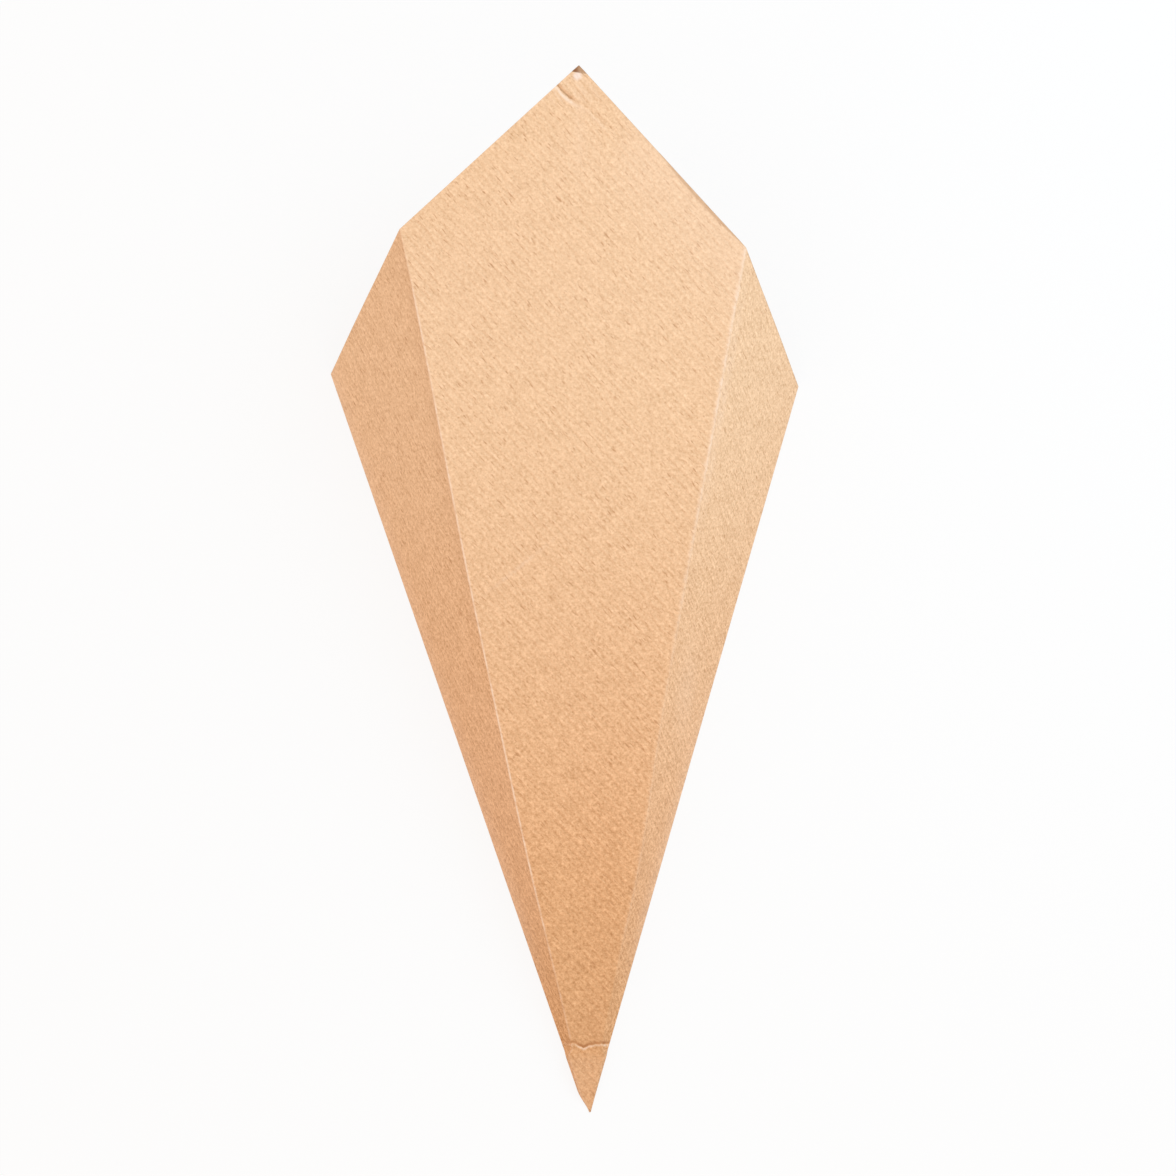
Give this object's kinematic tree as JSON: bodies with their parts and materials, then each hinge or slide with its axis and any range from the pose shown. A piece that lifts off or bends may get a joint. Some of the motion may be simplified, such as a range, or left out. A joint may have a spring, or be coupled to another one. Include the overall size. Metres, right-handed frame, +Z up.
{
  "type": "paper cone bag",
  "caption": "Cone-shaped paper bag for takeaway snacks, folded from one oblong sheet of kraft paper, glued along the back, with a pointed front at its open mouth.",
  "frame": {"origin": "middle of the bounding box in plan, on the surface that the bag lies on", "axes": "+Y along the bag from its tip to its open mouth; +Z up, from the glued back to the front panel; +X to the right of someone who looks down on the front with the tip towards them"},
  "size_m": [0.1218, 0.2608, 0.0561],
  "materials": {
    "kraft_paper": "uncoated laid kraft paper, matte, fine diagonal ribs"
  },
  "bodies": {
    "root": {"paper_cone": "kraft_paper"}
  },
  "joints": []
}
